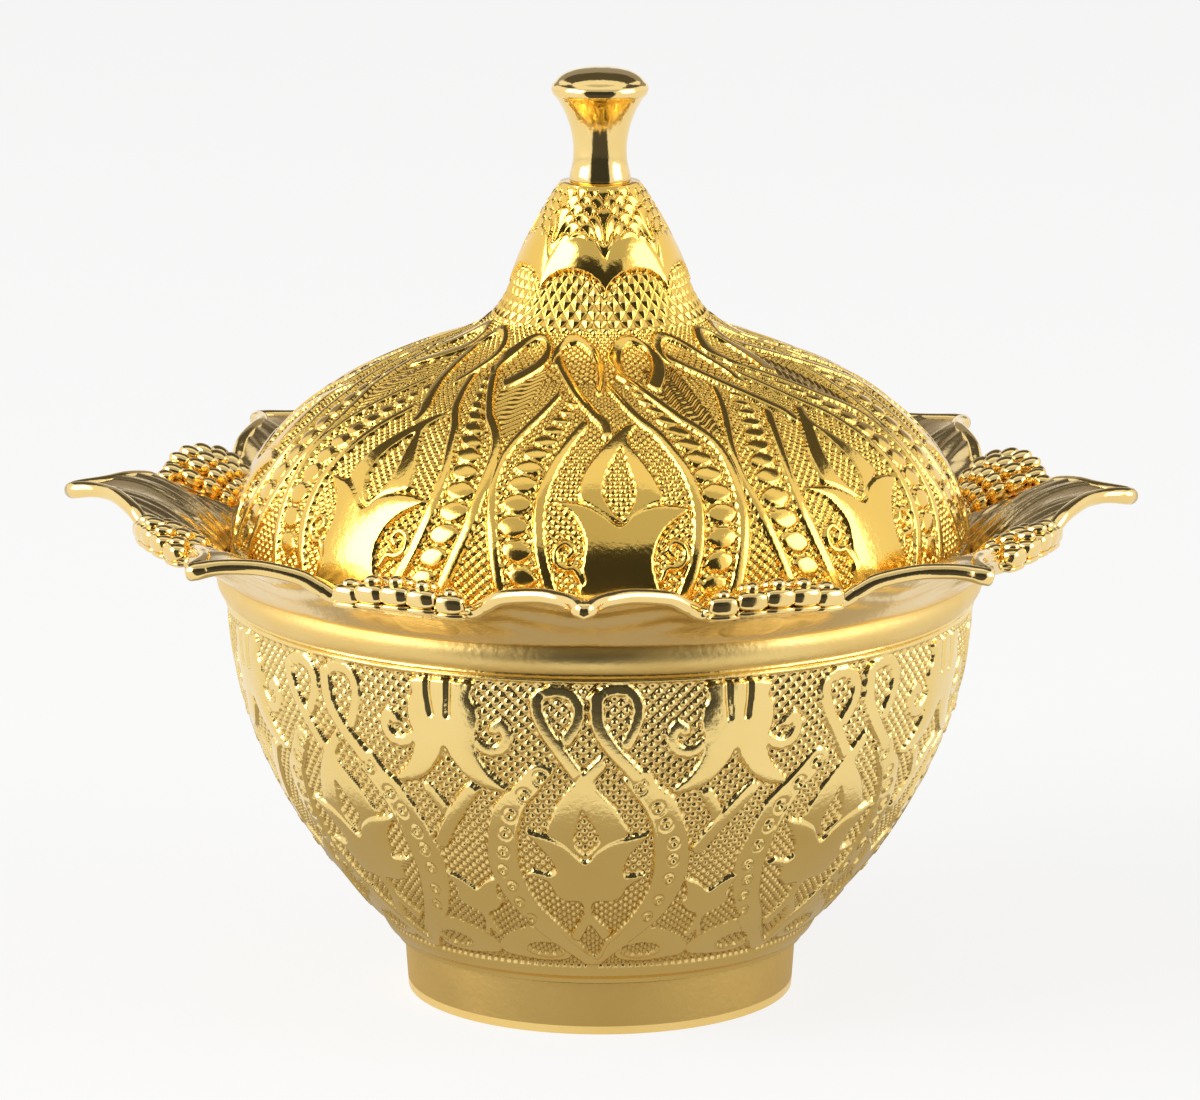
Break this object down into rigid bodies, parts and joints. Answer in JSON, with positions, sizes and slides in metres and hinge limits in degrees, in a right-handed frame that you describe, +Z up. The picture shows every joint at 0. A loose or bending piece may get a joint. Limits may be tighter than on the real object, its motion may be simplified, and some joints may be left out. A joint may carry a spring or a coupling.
{
  "type": "lidded bowl",
  "caption": "Round gilt bowl on a ring foot, with a leafed rim, bead clusters between the leaves, and a bell-necked lid with a knob that lifts off.",
  "frame": {"origin": "centre of the foot's underside, on the surface the bowl stands on", "axes": "+Z up through the knob, -Y towards the front, through the middle of one leaf"},
  "size_m": [0.1306, 0.1306, 0.1133],
  "materials": {
    "satin_gilt": "satin gold plate over a cast relief, warm and softly reflecting",
    "lid_gilt": "bright gold plate over a cast relief, yellow with deep orange hollows",
    "bright_gilt": "polished gold plate",
    "screw_steel": "plated machine screw"
  },
  "bodies": {
    "bowl": {"foot_ring": "satin_gilt", "bowl_cup": "satin_gilt", "petal_rim": "bright_gilt", "bead_cluster_1": "bright_gilt", "bead_cluster_2": "bright_gilt", "bead_cluster_3": "bright_gilt", "bead_cluster_4": "bright_gilt", "bead_cluster_5": "bright_gilt", "bead_cluster_6": "bright_gilt", "bead_cluster_7": "bright_gilt", "bead_cluster_8": "bright_gilt"},
    "lid": {"lid_dome": "lid_gilt", "lid_bezel": "lid_gilt", "knob": "bright_gilt", "knob_screw": "screw_steel", "screw_washer": "screw_steel"}
  },
  "joints": [
    {"name": "lid_lift", "type": "slide", "parent": "bowl", "child": "lid", "axis": [0, 0, 1], "range_m": [0, 0.08]}
  ]
}
